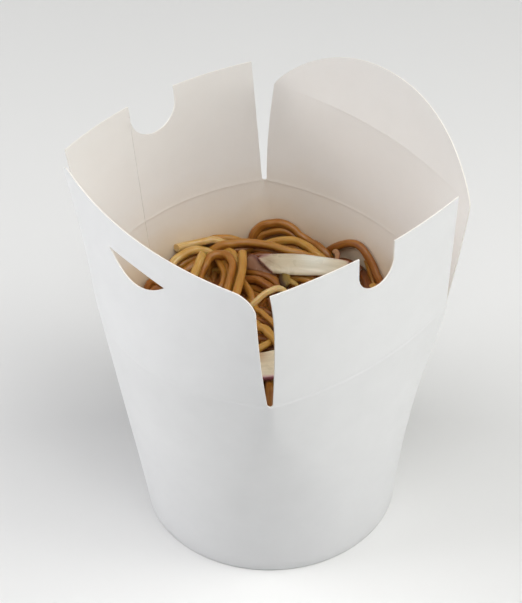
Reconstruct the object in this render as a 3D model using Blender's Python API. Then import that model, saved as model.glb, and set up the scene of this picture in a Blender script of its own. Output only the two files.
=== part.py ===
"""Round-based noodle takeaway box with its four lid flaps standing open, filled with noodles and onion.

The tub rises from a round base to a four-sided mouth. Each side carries a lid flap on a scored crease:
two notched flaps face each other, a slotted flap closes over them, and the tuck flap closes last, its
round tongue reaching for the slot. Lengths are in metres, angles in degrees, +Z is up.

Each side is drawn in its own panel frame: X points straight out of the box, Y runs along the crease,
Z is up, and the box axis is the Z axis. A panel's facing angle turns that frame about the box axis.
"""

import math
from dataclasses import dataclass

import bmesh
import bpy
from mathutils import Vector
from mathutils.geometry import delaunay_2d_cdt

MM = 0.001

# Board and joints
BOARD = 0.45 * MM               # thickness of the coated board
GAP = 0.3 * MM                  # clearance between neighbouring pieces
SLIT_HALF = 1.1 * MM            # half the width of the slit between two flaps at its foot

# Tub
BASE_RADIUS = 45 * MM
CREASE_HEIGHT = 92.3 * MM       # height of the flap creases at the corners of the mouth
MOUTH_HALF_X = 38.8 * MM        # the mouth's corners stand at +-X, +-Y
MOUTH_HALF_Y = 47.0 * MM
HEM_HEIGHT = 5.0 * MM           # the wall's foot is folded up inside, round the base's skirt
STATIONS_PER_SIDE = 20
WALL_ROWS = 3

# Lid flaps
FLAP_TOP = 138.2 * MM           # height of the notched flaps' free corners
SLOTTED_TOP = 140.3 * MM
TUCK_TOP = 129.6 * MM           # height of the scored crease that the tongue folds on
TUCK_BOW = 0.7 * MM             # how far the tuck flap's side edges bow out half way up
CORNER_ROUND = 7.5 * MM         # of the slotted flap's free corners
BACK_NOTCH_RADIUS = 9.8 * MM
FRONT_NOTCH_RADIUS = 7.4 * MM
NOTCH_FOOT = 32.0 * MM          # above the crease
SLOT_HALF = 14.0 * MM
SLOT_TOP = 37.5 * MM            # height of the slot's two tips above the crease
SLOT_CROWN = 0.8 * MM           # how far its upper edge arches above the tips
SLOT_DEPTH = 6.2 * MM           # how far its lower edge sinks below them
TONGUE_LENGTH = 22.6 * MM
TONGUE_TILT = 9.2               # outward from upright
TONGUE_FULLNESS = 2.18          # exponents of the tongue's round outline
TONGUE_SHOULDER = 1.24
TONGUE_POINTS = 24
GRID_ALONG = 6.0 * MM           # facet size along the crease and up the flap
GRID_UP = 11.0 * MM
OUTLINE_STEP = 4.5 * MM

# Contents
HEAP_INSET = 1.1 * MM           # from the wall's outer face
HEAP_EDGE = 68.5 * MM           # height of the noodles where they meet the wall
HEAP_CROWN = 77.5 * MM
HEAP_SPREAD = 1.25              # the dome falls to HEAP_EDGE this many times as far out as the mouth
HEAP_RINGS = 18
HEAP_BED = 0.7 * MM             # clearance of the noodles below a slice of onion
HEAP_BED_MARGIN = 3.0 * MM
SLICE_SECTIONS = 12
SLICE_CORNERS = 10


@dataclass(frozen=True)
class Edge:
    """A cross edge of a panel, seen from above as a shallow parabola."""

    half: float                 # half its length
    out: float                  # distance of its ends from the box axis
    bulge: float                # how much further out its middle stands
    height: float               # height of its ends
    rise: float                 # how much higher its middle stands

    def point(self, u):
        """Point at u = -1 to 1 along the edge, in the panel frame."""
        arch = 1 - u * u
        return Vector((self.out + self.bulge * arch, self.half * u, self.height + self.rise * arch))


@dataclass(frozen=True)
class Panel:
    """A board surface of straight rulings from a crease to a free edge."""

    facing: float
    crease: Edge
    top: Edge

    @property
    def length(self):
        """Height of the panel along its edge."""
        return (self.top.point(1) - self.crease.point(1)).length

    @property
    def hinge(self):
        """Middle of the straight line between the crease's ends, on the board's inner face."""
        return Vector((self.crease.out - BOARD, 0, self.crease.height))

    def half_at(self, up):
        share = up / self.length
        return self.crease.half + (self.top.half - self.crease.half) * share

    def surface(self, along, up):
        """Point of the outer face, `along` from the middle and `up` from the crease."""
        u = along / self.half_at(up)
        return self.crease.point(u).lerp(self.top.point(u), up / self.length)

    def inner(self, along, up, depth):
        """Point `depth` inside the outer face."""
        step = 0.2 * MM
        across = self.surface(along + step, up) - self.surface(along - step, up)
        rise = self.surface(along, up + step) - self.surface(along, up - step)
        return self.surface(along, up) - across.cross(rise).normalized() * depth


TUCK_CREASE = Edge(48.3 * MM, 45.6 * MM, 7.2 * MM, TUCK_TOP, 0.7 * MM)

TUCK = Panel(0,
             Edge(MOUTH_HALF_Y, MOUTH_HALF_X, 12.9 * MM, CREASE_HEIGHT, 0.2 * MM),
             TUCK_CREASE)
BACK = Panel(90,
             Edge(MOUTH_HALF_X, MOUTH_HALF_Y, 8.4 * MM, CREASE_HEIGHT, 1.2 * MM),
             Edge(40.1 * MM, 54.6 * MM, 6.2 * MM, FLAP_TOP, 0.4 * MM))
SLOTTED = Panel(180,
                Edge(MOUTH_HALF_Y, MOUTH_HALF_X, 17.3 * MM, CREASE_HEIGHT, -1.2 * MM),
                Edge(48.2 * MM, 46.0 * MM, 7.1 * MM, SLOTTED_TOP, -1.4 * MM))
FRONT = Panel(270,
              Edge(MOUTH_HALF_X, MOUTH_HALF_Y, 6.3 * MM, CREASE_HEIGHT, 0),
              Edge(38.1 * MM, 49.9 * MM, 3.1 * MM, FLAP_TOP, -0.2 * MM))
SIDES = (TUCK, BACK, SLOTTED, FRONT)

TONGUE = Panel(0,
               TUCK_CREASE,
               Edge(TUCK_CREASE.half,
                    TUCK_CREASE.out + TONGUE_LENGTH * math.sin(math.radians(TONGUE_TILT)),
                    TUCK_CREASE.bulge,
                    TUCK_CREASE.height + TONGUE_LENGTH * math.cos(math.radians(TONGUE_TILT)),
                    TUCK_CREASE.rise))


@dataclass(frozen=True)
class Ridge:
    """A bundle of strands that lies over the heap in an arc: plan centre, radius, span, size."""

    x: float
    y: float
    radius: float
    start: float                # angles of its two ends about the centre
    end: float
    lift: float
    width: float

    def height(self, x, y):
        """How much the bundle adds to the heap at x, y."""
        away = math.hypot(x - self.x, y - self.y)
        turn = (math.degrees(math.atan2(y - self.y, x - self.x)) - self.start) % 360
        share = turn / (self.end - self.start)
        if share > 1:
            return 0
        spread = (away - self.radius) / self.width
        return self.lift * math.exp(-spread * spread) * math.sin(math.pi * share) ** 0.5


RIDGES = (
    Ridge(31 * MM, 31 * MM, 10 * MM, -40, 190, 8.0 * MM, 2.8 * MM),
    Ridge(12 * MM, -22 * MM, 64 * MM, 62, 116, 4.0 * MM, 3.0 * MM),
    Ridge(5 * MM, 40 * MM, 11 * MM, 20, 170, 4.5 * MM, 3.2 * MM),
    Ridge(6 * MM, 31 * MM, 8 * MM, -60, 230, 4.5 * MM, 2.4 * MM),
    Ridge(37 * MM, 9 * MM, 12.5 * MM, -70, 75, 10.5 * MM, 2.8 * MM),
    Ridge(-14 * MM, 12 * MM, 21 * MM, 100, 250, 4.0 * MM, 3.4 * MM),
    Ridge(-14 * MM, 14 * MM, 9 * MM, 0, 340, 3.0 * MM, 2.6 * MM),
    Ridge(0, -8 * MM, 16 * MM, -30, 120, 3.4 * MM, 3.0 * MM),
    Ridge(10 * MM, -26 * MM, 15 * MM, 170, 350, 4.0 * MM, 3.2 * MM),
    Ridge(-30 * MM, -14 * MM, 12 * MM, 120, 330, 3.6 * MM, 3.0 * MM),
    Ridge(24 * MM, -20 * MM, 18 * MM, 230, 390, 3.0 * MM, 3.2 * MM),
)


@dataclass(frozen=True)
class Slice:
    """A crescent of onion: a leaf-shaped, slightly arched slab."""

    name: str
    length: float
    width: float
    thickness: float
    arch: float                 # height of its middle above its two tips
    place: tuple
    yaw: float
    pitch: float                # lowers its far tip
    roll: float

    def underside(self, x, y):
        """Height of the bed below it at x, y, or None away from the slice."""
        turn = math.radians(self.yaw)
        dx, dy = x - self.place[0], y - self.place[1]
        along = dx * math.cos(turn) + dy * math.sin(turn)
        across = dy * math.cos(turn) - dx * math.sin(turn)
        beside = abs(along) > self.length / 2 + HEAP_BED_MARGIN
        if beside or abs(across) > self.width / 2 + HEAP_BED_MARGIN:
            return None
        tilt = across * math.tan(math.radians(self.roll)) - along * math.tan(math.radians(self.pitch))
        return self.place[2] + tilt - self.thickness / 2 - HEAP_BED


SLICES = (
    Slice("onion_slice_long", 35 * MM, 10.4 * MM, 2.3 * MM, 1.2 * MM,
          (27.0 * MM, 10.4 * MM, 80.6 * MM), -50, 0, 0),
    Slice("onion_slice_under", 19 * MM, 8 * MM, 1.8 * MM, 0.6 * MM,
          (16.5 * MM, 21.0 * MM, 76.6 * MM), -96, 3, 0),
    Slice("onion_slice_front", 30 * MM, 12 * MM, 2.2 * MM, 1.0 * MM,
          (-14.0 * MM, -18.5 * MM, 77.0 * MM), -38, 0, 14),
)


# ---------------------------------------------------------------- scene and materials

def clear_scene():
    """Remove everything, so that the script starts from nothing."""
    for thing in list(bpy.data.objects):
        bpy.data.objects.remove(thing)


def make_material(name, colour, roughness):
    """A plain finish."""
    material = bpy.data.materials.new(name)
    material.use_nodes = True
    shader = material.node_tree.nodes["Principled BSDF"]
    shader.inputs["Base Color"].default_value = (*colour, 1)
    shader.inputs["Roughness"].default_value = roughness
    shader.inputs["Metallic"].default_value = 0
    return material


def add_solid(name, form, material, parent):
    """Turn a closed bmesh into a smooth-shaded object with its faces pointing out."""
    bmesh.ops.recalc_face_normals(form, faces=form.faces)
    mesh = bpy.data.meshes.new(name)
    form.to_mesh(mesh)
    form.free()
    mesh.materials.append(material)
    mesh.shade_smooth()
    mesh.set_sharp_from_angle(angle=math.radians(35))
    solid = bpy.data.objects.new(name, mesh)
    bpy.context.scene.collection.objects.link(solid)
    solid.parent = parent
    return solid


def grid_form(rows, closed_across):
    """Skin rows of equal length; the rows close on each other, and each row too if closed_across."""
    form = bmesh.new()
    vertices = [[form.verts.new(point) for point in row] for row in rows]
    count = len(rows[0])
    for i, row in enumerate(vertices):
        following = vertices[(i + 1) % len(vertices)]
        for j in range(count if closed_across else count - 1):
            k = (j + 1) % count
            form.faces.new((row[j], row[k], following[k], following[j]))
    return form, vertices


def close_with_point(form, loop, point):
    """Fan a loop of vertices to one more point."""
    tip = form.verts.new(point)
    for i, vertex in enumerate(loop):
        form.faces.new((vertex, loop[(i + 1) % len(loop)], tip))


# ---------------------------------------------------------------- tub

def mouth_ring():
    """The crease line round the mouth, in the box frame, counter-clockwise."""
    ring = []
    for side in SIDES:
        turn = math.radians(side.facing)
        for i in range(STATIONS_PER_SIDE):
            out, along, height = side.crease.point(-1 + 2 * i / STATIONS_PER_SIDE)
            ring.append(Vector((out * math.cos(turn) - along * math.sin(turn),
                                out * math.sin(turn) + along * math.cos(turn),
                                height)))
    return ring


def inward_directions(ring):
    """Level unit vectors that point in from each point of a ring, halving its corners."""
    directions = []
    for before, after in zip(ring[-1:] + ring[:-1], ring[1:] + ring[:1]):
        tangent = (after - before).to_2d().normalized()
        directions.append(Vector((-tangent.y, tangent.x, 0)))
    return directions


class Tub:
    """The wall's surface: straight rulings from the round base up to the crease line."""

    def __init__(self):
        self.mouth = mouth_ring()
        self.foot = [point.to_2d().normalized().to_3d() * BASE_RADIUS for point in self.mouth]
        self.mouth_in = inward_directions(self.mouth)
        self.foot_in = inward_directions(self.foot)

    def point(self, station, height, depth=0):
        """Point of the wall's ruling at a station, `depth` inside its outer face."""
        top, foot = self.mouth[station], self.foot[station]
        share = height / top.z
        inward = self.foot_in[station].lerp(self.mouth_in[station], share).normalized()
        return foot.lerp(top, share) + inward * depth

    def upright(self, station, height, depth):
        """Point of the upright hem inside the wall's foot."""
        return self.foot[station] + self.foot_in[station] * depth + Vector((0, 0, height))


def build_wall(tub, material, parent):
    """The board wall, its foot folded in and up into a hem that clasps the base's skirt."""
    hem_outer = 2 * BOARD + 2 * GAP
    hem_inner = hem_outer + BOARD
    rows = []
    for station, top in enumerate(tub.mouth):
        lip = top.z - GAP / 2
        heights = [lip * row / WALL_ROWS for row in range(WALL_ROWS + 1)]
        row = [tub.point(station, height) for height in heights]
        row += [tub.point(station, max(height, BOARD), BOARD) for height in reversed(heights)]
        row += [tub.upright(station, BOARD, hem_outer),
                tub.upright(station, HEM_HEIGHT, hem_outer),
                tub.upright(station, HEM_HEIGHT, hem_inner),
                tub.upright(station, 0, hem_inner)]
        rows.append(row)
    form, _ = grid_form(rows, closed_across=True)
    return add_solid("box_wall", form, material, parent)


def build_base(tub, material, parent):
    """The recessed base: a disc with a skirt that reaches down between wall and hem."""
    underside = HEM_HEIGHT + 2 * GAP
    skirt_foot = BOARD + GAP
    outer = BOARD + GAP
    inner = outer + BOARD
    rows = []
    for station in range(len(tub.foot)):
        rows.append([tub.upright(station, underside + BOARD, outer),
                     tub.upright(station, skirt_foot, outer),
                     tub.upright(station, skirt_foot, inner),
                     tub.upright(station, underside, inner)])
    form, vertices = grid_form(rows, closed_across=False)
    close_with_point(form, [row[0] for row in vertices], (0, 0, underside + BOARD))
    close_with_point(form, [row[-1] for row in vertices], (0, 0, underside))
    return add_solid("base_disc", form, material, parent)


# ---------------------------------------------------------------- flaps

def arc(centre, radius, start, end, count):
    """Points of a round corner, from angle start to angle end."""
    angles = [math.radians(start + (end - start) * i / count) for i in range(count + 1)]
    return [(centre[0] + radius * math.cos(a), centre[1] + radius * math.sin(a)) for a in angles]


def divided(outline):
    """The closed outline with its long straight runs divided into short ones."""
    points = []
    for start, end in zip(outline, outline[1:] + outline[:1]):
        count = max(1, round(math.dist(start, end) / OUTLINE_STEP))
        for i in range(count):
            share = i / count
            points.append((start[0] + (end[0] - start[0]) * share,
                           start[1] + (end[1] - start[1]) * share))
    return points


def inside(point, outline):
    """Whether a point lies inside a closed outline."""
    hit = False
    x, y = point
    for (x0, y0), (x1, y1) in zip(outline, outline[1:] + outline[:1]):
        if (y0 > y) != (y1 > y) and x < x0 + (x1 - x0) * (y - y0) / (y1 - y0):
            hit = not hit
    return hit


def clear_of(point, outline, margin):
    """Whether a point keeps a margin from an outline's corners."""
    return all(math.dist(point, corner) > margin for corner in outline)


def flat_triangles(panel, outline, holes):
    """Triangles of the flat outline, with inner points on a grid so that it can be bent."""
    loops = [divided(outline)] + [divided(hole) for hole in holes]
    points = []
    edges = []
    for loop in loops:
        first = len(points)
        points += loop
        edges += [(first + i, first + (i + 1) % len(loop)) for i in range(len(loop))]
    columns = math.ceil(panel.half_at(panel.length) / GRID_ALONG)
    rows = math.ceil(panel.length / GRID_UP)
    for column in range(-columns, columns + 1):
        for row in range(1, rows):
            spot = (column * GRID_ALONG, row * panel.length / rows)
            in_board = inside(spot, loops[0]) and not any(inside(spot, hole) for hole in loops[1:])
            if in_board and all(clear_of(spot, loop, GRID_ALONG / 3) for loop in loops):
                points.append(spot)
    inner_triangles = 1
    flat, _, faces, *_ = delaunay_2d_cdt([Vector(p) for p in points], edges, [], inner_triangles, 1e-9)
    kept = []
    for face in faces:
        middle = sum((flat[i] for i in face), Vector((0, 0))) / len(face)
        if not any(inside(middle, hole) for hole in loops[1:]):
            kept.append(face)
    return flat, kept


def board_form(panel, outline, holes=()):
    """Bend the flat outline onto the panel and give it the board's thickness."""
    flat, faces = flat_triangles(panel, outline, holes)
    form = bmesh.new()
    outer = [form.verts.new(panel.surface(*p) - panel.hinge) for p in flat]
    inner = [form.verts.new(panel.inner(*p, BOARD) - panel.hinge) for p in flat]
    rim = {}
    for face in faces:
        form.faces.new([outer[i] for i in face])
        form.faces.new([inner[i] for i in reversed(face)])
        for a, b in zip(face, face[1:] + face[:1]):
            if (b, a) in rim:
                del rim[b, a]
            else:
                rim[a, b] = True
    for a, b in rim:
        form.faces.new((outer[b], outer[a], inner[a], inner[b]))
    loose = [vertex for vertex in form.verts if not vertex.link_faces]
    bmesh.ops.delete(form, geom=loose, context="VERTS")
    return form


def place_flap(name, panel, form, material, parent):
    """Put a flap on its hinge line, which is its object's Y axis."""
    flap = add_solid(name, form, material, parent)
    flap.rotation_euler.z = math.radians(panel.facing)
    flap.location = panel.hinge
    flap.location.rotate(flap.rotation_euler)
    return flap


def build_notched_flap(name, panel, radius, material, parent):
    """A flap with a round-bottomed notch in the middle of its free edge."""
    foot = panel.crease.half - SLIT_HALF
    notch = arc((0, NOTCH_FOOT + radius), radius, 0, -180, 12)
    outline = [(-foot, GAP / 2), (foot, GAP / 2), (panel.top.half, panel.length),
               (radius, panel.length), *notch,
               (-radius, panel.length), (-panel.top.half, panel.length)]
    return place_flap(name, panel, board_form(panel, outline), material, parent)


def build_slotted_flap(name, panel, material, parent):
    """The flap with rounded free corners and the half-moon slot that takes the tongue."""
    foot = panel.crease.half - SLIT_HALF
    inset = panel.top.half - CORNER_ROUND
    level = panel.length - CORNER_ROUND
    outline = [(-foot, GAP / 2), (foot, GAP / 2),
               *arc((inset, level), CORNER_ROUND, 0, 90, 6),
               *arc((-inset, level), CORNER_ROUND, 90, 180, 6)]
    shares = [-1 + i / 6 for i in range(13)]
    slot = [(SLOT_HALF * u, SLOT_TOP - SLOT_DEPTH * (1 - u * u)) for u in shares]
    slot += [(SLOT_HALF * u, SLOT_TOP + SLOT_CROWN * (1 - u * u)) for u in reversed(shares[1:-1])]
    return place_flap(name, panel, board_form(panel, outline, [slot]), material, parent)


def build_tuck_flap(name, panel, material, parent):
    """The flap that closes last, up to the crease of its tongue."""
    foot = panel.crease.half - SLIT_HALF
    side = []
    for i in range(7):
        share = i / 6
        half = foot + (panel.top.half - foot) * share + TUCK_BOW * 4 * share * (1 - share)
        side.append((half, GAP / 2 + (panel.length - GAP) * share))
    outline = side + [(-along, up) for along, up in reversed(side)]
    return place_flap(name, panel, board_form(panel, outline), material, parent)


def build_tongue(name, panel, material, flap):
    """The round tongue, hinged on the tuck flap's free crease."""
    outline = [(-panel.crease.half, GAP / 2), (panel.crease.half, GAP / 2)]
    for i in range(1, TONGUE_POINTS):
        u = math.cos(math.pi * i / TONGUE_POINTS)
        reach = (1 - abs(u) ** TONGUE_FULLNESS) ** (1 / TONGUE_SHOULDER)
        outline.append((panel.crease.half * u, GAP / 2 + (panel.length - GAP / 2) * reach))
    tongue = place_flap(name, panel, board_form(panel, outline), material, flap)
    tongue.location -= TUCK.hinge               # the flap it hangs on faces the same way
    return tongue


# ---------------------------------------------------------------- contents

def heap_height(x, y):
    """Height of the noodles at x, y: a low dome, its bundles of strands, and the slices' beds."""
    away = math.hypot(x / MOUTH_HALF_X, y / MOUTH_HALF_Y)
    height = HEAP_EDGE + (HEAP_CROWN - HEAP_EDGE) * max(0, 1 - (away / HEAP_SPREAD) ** 2)
    height += sum(ridge.height(x, y) for ridge in RIDGES)
    beds = [bed for bed in (piece.underside(x, y) for piece in SLICES) if bed is not None]
    return min([height] + beds)


def build_noodles(tub, material, parent):
    """The heap as one solid: down to the base, out to the wall, up to its uneven top."""
    floor = HEM_HEIGHT + BOARD + 3 * GAP
    rows = []
    for station in range(len(tub.mouth)):
        edge = tub.point(station, HEAP_EDGE, HEAP_INSET)
        rim = tub.point(station, heap_height(edge.x, edge.y), HEAP_INSET)
        row = [tub.point(station, floor, HEAP_INSET), tub.point(station, HEAP_EDGE / 2, HEAP_INSET), rim]
        for ring in range(HEAP_RINGS - 1, 0, -1):
            spot = rim * (ring / HEAP_RINGS)
            row.append((spot.x, spot.y, heap_height(spot.x, spot.y)))
        rows.append(row)
    form, vertices = grid_form(rows, closed_across=False)
    close_with_point(form, [row[0] for row in vertices], (0, 0, floor))
    close_with_point(form, [row[-1] for row in vertices], (0, 0, heap_height(0, 0)))
    return add_solid("noodle_heap", form, material, parent)


def build_slice(piece, material, parent):
    """A leaf-shaped slab: lens sections from tip to tip, the middle ones wider and higher."""
    rows = []
    for i in range(1, SLICE_SECTIONS):
        share = -math.cos(math.pi * i / SLICE_SECTIONS)
        taper = (1 - share * share) ** 0.5
        row = []
        for j in range(SLICE_CORNERS):
            turn = 2 * math.pi * j / SLICE_CORNERS
            across = piece.width / 2 * taper * math.cos(turn)
            up = piece.thickness / 2 * taper ** 0.4 * math.sin(turn)
            row.append((piece.length / 2 * share, across, up + piece.arch * taper * taper))
        rows.append(row)
    form = bmesh.new()
    loops = [[form.verts.new(point) for point in row] for row in rows]
    for loop, following in zip(loops, loops[1:]):
        for j in range(SLICE_CORNERS):
            k = (j + 1) % SLICE_CORNERS
            form.faces.new((loop[j], loop[k], following[k], following[j]))
    close_with_point(form, loops[0], (-piece.length / 2, 0, 0))
    close_with_point(form, loops[-1], (piece.length / 2, 0, 0))
    solid = add_solid(piece.name, form, material, parent)
    solid.location = piece.place
    solid.rotation_euler = (math.radians(piece.roll), math.radians(piece.pitch), math.radians(piece.yaw))
    return solid


# ---------------------------------------------------------------- the whole box

def footprint_middle(solids):
    """Middle of the solids' footprint, in the box frame."""
    bpy.context.view_layer.update()
    corners = [solid.matrix_world @ vertex.co for solid in solids for vertex in solid.data.vertices]
    xs = [corner.x for corner in corners]
    ys = [corner.y for corner in corners]
    return (min(xs) + max(xs)) / 2, (min(ys) + max(ys)) / 2


def main():
    clear_scene()
    board = make_material("coated_board", (0.86, 0.86, 0.85), 0.45)
    pasta = make_material("noodles", (0.60, 0.33, 0.11), 0.4)
    onion = make_material("red_onion", (0.86, 0.80, 0.78), 0.35)

    box = bpy.data.objects.new("box_frame", None)
    bpy.context.scene.collection.objects.link(box)
    tub = Tub()
    solids = [
        build_wall(tub, board, box),
        build_base(tub, board, box),
        build_notched_flap("flap_back", BACK, BACK_NOTCH_RADIUS, board, box),
        build_notched_flap("flap_front", FRONT, FRONT_NOTCH_RADIUS, board, box),
        build_slotted_flap("flap_slotted", SLOTTED, board, box),
        build_noodles(tub, pasta, box),
    ]
    flap = build_tuck_flap("flap_tuck", TUCK, board, box)
    solids += [flap, build_tongue("tuck_tongue", TONGUE, board, flap)]
    solids += [build_slice(piece, onion, box) for piece in SLICES]

    # The world origin is on the standing plane, below the middle of the whole footprint.
    middle_x, middle_y = footprint_middle(solids)
    box.location = (-middle_x, -middle_y, 0)


main()
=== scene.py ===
"""Looks for the round-based noodle takeaway box: coated board, stir-fried noodles and red onion.

The board is built again as thin sheets on the CAD panels' own surfaces, with scored creases, a glued side
seam and cut edges. The contents are listed strands where the view shows them, over a bed of wavy
strands and loose ones dropped onto it. Lengths are millimetres from the box axis and the standing plane.
"""

import random
from dataclasses import dataclass
from math import atan2, ceil, copysign, cos, dist, floor, hypot, pi, radians, sin, sqrt, tan

import bmesh
import bpy
import numpy as np
from mathutils import Matrix, Vector
from mathutils.geometry import delaunay_2d_cdt


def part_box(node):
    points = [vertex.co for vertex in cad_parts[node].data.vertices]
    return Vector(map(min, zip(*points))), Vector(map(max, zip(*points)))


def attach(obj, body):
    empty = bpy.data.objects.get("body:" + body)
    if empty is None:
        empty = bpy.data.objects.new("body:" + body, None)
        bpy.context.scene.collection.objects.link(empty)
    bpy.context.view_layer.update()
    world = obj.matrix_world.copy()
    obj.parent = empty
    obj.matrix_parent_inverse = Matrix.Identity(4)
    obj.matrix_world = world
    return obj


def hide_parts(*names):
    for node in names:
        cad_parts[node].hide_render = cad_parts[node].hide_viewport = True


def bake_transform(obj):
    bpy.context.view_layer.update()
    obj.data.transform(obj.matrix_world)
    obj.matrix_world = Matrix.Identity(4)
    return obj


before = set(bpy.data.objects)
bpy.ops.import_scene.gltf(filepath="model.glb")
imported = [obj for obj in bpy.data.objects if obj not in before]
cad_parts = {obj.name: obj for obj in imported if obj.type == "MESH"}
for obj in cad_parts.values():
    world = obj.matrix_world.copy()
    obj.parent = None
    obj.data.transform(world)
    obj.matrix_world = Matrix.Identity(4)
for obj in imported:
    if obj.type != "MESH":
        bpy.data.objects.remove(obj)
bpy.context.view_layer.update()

MM = 0.001
base_low, base_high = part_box("base_disc")
AXIS = np.array([(base_low.x + base_high.x) / 2, (base_low.y + base_high.y) / 2, 0])

# Board, the same surfaces as the CAD panels
BOARD = 0.45            # thickness
GAP = 0.3               # clearance of the base's skirt in the folded foot
SLIT_HALF = 0.85        # half the width of the slit between two flaps at its round foot
BASE_RADIUS = 45.0
CREASE_HEIGHT = 92.3
MOUTH_HALF_X = 38.8
MOUTH_HALF_Y = 47.0
HEM_HEIGHT = 5.0
FOOT_ROUND = 0.6        # radius of the fold the box stands on
FLAP_TOP = 138.2
SLOTTED_TOP = 140.3
SLOTTED_BOW = -0.48
TUCK_TOP = 129.6
TUCK_BOW = 0.7
CORNER_ROUND = 6.5
CORNER_LIFT = 0.45      # how much higher the slotted flap's corner stands at the front slit
FRONT_SLIT = (-0.2, 2.2)        # bow and flare of the front flap's side at the front slit
FRONT_LIFT = (1.45, 0.45)       # how much higher it stands there, at its corner and at its notch
BACK_NOTCH_RADIUS = 9.8
FRONT_NOTCH_RADIUS = 7.4
NOTCH_FOOT = 32.0
SLOT_HALF = 14.0
SLOT_TOP = 37.5
SLOT_CROWN = 0.8
SLOT_DEPTH = 6.2
TONGUE_LENGTH = 22.6
TONGUE_TILT = 9.2
TONGUE_FULLNESS = 2.18
TONGUE_SHOULDER = 1.24

# Board detail
SCORE_WIDTH = 0.5       # of the scored creases
SCORE_GROOVE = 0.15     # their depth outside
SCORE_BEAD = 0.10       # their height inside
TONGUE_SCORE = 0.3      # how strongly the tongue's crease is scored beside the others
SCORE_ROWS = (0.2, 0.45, 0.8, 1.3, 2.2)
SEAM_INNER = 10.0       # the glued seam's two cut edges, along the back side
SEAM_OUTER = 2.3
SEAM_STEP = 0.18
SEAM_RAMP = 4.5
SEAM_COLUMNS = tuple(edge + side for edge in (SEAM_INNER, SEAM_OUTER) for side in (-0.03, 0.03))
NO_SEAM = -99.0         # place along the seam's side for points that are on another side
RIDGE_ROUND = 0.05      # rounding of the tub's corners at the creases
RIDGE_FADE = 0.34       # how fast it grows below them
RIDGE_SHARP = 34.0      # height over which it grows more slowly
STATIONS = 48           # of the wall on each side
WALL_ROWS = 26          # of it, from a little below the creases down
WALL_ROWS_TOP = CREASE_HEIGHT - 5
COLUMN = 2.4            # grid of the flaps' meshes
ROW = 2.6
OUTLINE_STEP = 1.2
SLIT_STEPS = 20
FOLD_ZONE = 16.0        # height over which a flap bends when it is closed

# Contents
SEED = 7
STRAND = 3.1            # width of a noodle
STRAND_STEP = 1.1       # spacing of its sections
SQUARENESS = 0.78       # of its section: 1 is round
LAID_HEIGHT = 0.88      # height of a listed strand, beside its width
LAID_CORNERS = 12       # of its section, and of the others'
HEAPED_CORNERS = 8
SWELL = 0.05            # how much its width and its tone vary along it
WIDTH_WAVE = 7.0        # over what length, over two pi
TONE_WAVE = 11.0
STREAK_ROUND = 1.5      # scale of its streaks round the section
STREAK_SHIFT = (40, 9)  # how far apart the strands lie in the streaks' noise, along and round
ROLL = (0, 3)           # range of the angle at which its section starts
LAID_TWIST = (-0.02, 0.02)      # range of a laid strand's twist, per millimetre
HEAP_EDGE = 71.5
HEAP_CROWN = 77.5
HEAP_SPREAD = 1.25
CORE_DROP = 7.0         # how far the core's top lies below the heap's
CORE_ROOM = 1.6         # between the core and the wall's outer face
OVER_CEILING = 0.7      # how far a strand may stand above the heap's top
END_DIVE = 3.0          # how far a strand's ends sink into the heap
DIVE_LENGTH = 7.5       # and over what length
LOOSE_WIDTH = (0.9, 1.02)       # range of a loose strand's width and height, beside STRAND
LOOSE_HEIGHT = (0.82, 0.95)
LOOSE_TWIST = (-0.03, 0.03)
FIRST_CURL = (9, 30)    # range of the radius of a loose strand's first bend
CURL = (7, 26)          # and of its later ones
CURL_STEPS = 12         # how often that changes
CURL_EASE = 0.15        # and how quickly
TURN_EASE = 0.45        # how quickly a strand turns back from the wall
TURN_LEAN = 0.3         # how much further it turns for each millimetre nearer to it
DRAPE = (15, 11, 9, 7)  # windows over which its heights are smoothed, and the last one
SMOOTHING = 5
CHOICES = 16            # strands tried for each one laid
DROPPED = ((60, 100, 90), (35, 70, 110), (18, 35, 170))     # shortest, longest, how many
DROPPED_TONES = (0.15, 0.50, 0.80, 0.12)        # least, mean and most, and their spread
PRESS = 0.7             # how deep a strand presses into those below
UNDER_LAID = 0.2        # clearance below the listed strands
BED_SPACING = 2.75
BEDS = ((0.6, 0.7, 1.0), (1.9, 2.8, 0.6))       # direction, rise over the core and share laid
BED_SWING = ((5.5, 15.0, 0.4), (2.2, 7.0, 2.0))     # its waves: swing, length over two pi, phase
BED_FAN = 0.004         # how much larger they grow, per millimetre across the bed
BED_JITTER = 0.3        # of the strands' spacing
BED_RIPPLE = 0.5        # of their heights
BED_RIPPLE_SPAN = (6, 11)       # range of its length, over two pi
BED_CUTS = (26, 74)     # shortest and longest strand in it
BED_REST = 8            # fewest sections left over after a cut
BED_TONES = (0.5, 0.85)
BED_ROOM = 3.4          # nearest that its strands' middles come to the wall's outer face
CELL = 0.5              # grid of the pile's heights
REACH = 56.0            # half its side
WALL_ROOM = 2.6         # nearest that a strand's middle comes to the wall's outer face
TURN_ROOM = 4.6         # where it turns back
ROOM_LEVELS = (HEAP_EDGE + 3, 60.0)     # heights between which the wall's taper is measured
HOLLOW = (5.0, 33.0, 4.8, 68.0)         # a hollow in the heap: place, radius and floor


# ---- panels

@dataclass(frozen=True)
class Edge:
    """A cross edge of a panel, seen from above as a shallow parabola."""

    half: float
    out: float
    bulge: float
    height: float
    rise: float

    def points(self, u):
        """Points at u = -1 to 1 along the edge, in the panel frame."""
        arch = 1 - u * u
        return np.stack([self.out + self.bulge * arch, self.half * u, self.height + self.rise * arch], -1)

    def radius_at(self, angle):
        """Distance from the axis where a line at that angle to the panel's facing meets the edge."""
        slope = tan(angle)
        a = slope * self.bulge
        u = (sqrt(self.half ** 2 + 4 * a * slope * (self.out + self.bulge)) - self.half) / (2 * a)
        x, y, _ = self.points(u)
        return hypot(x, y)


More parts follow.
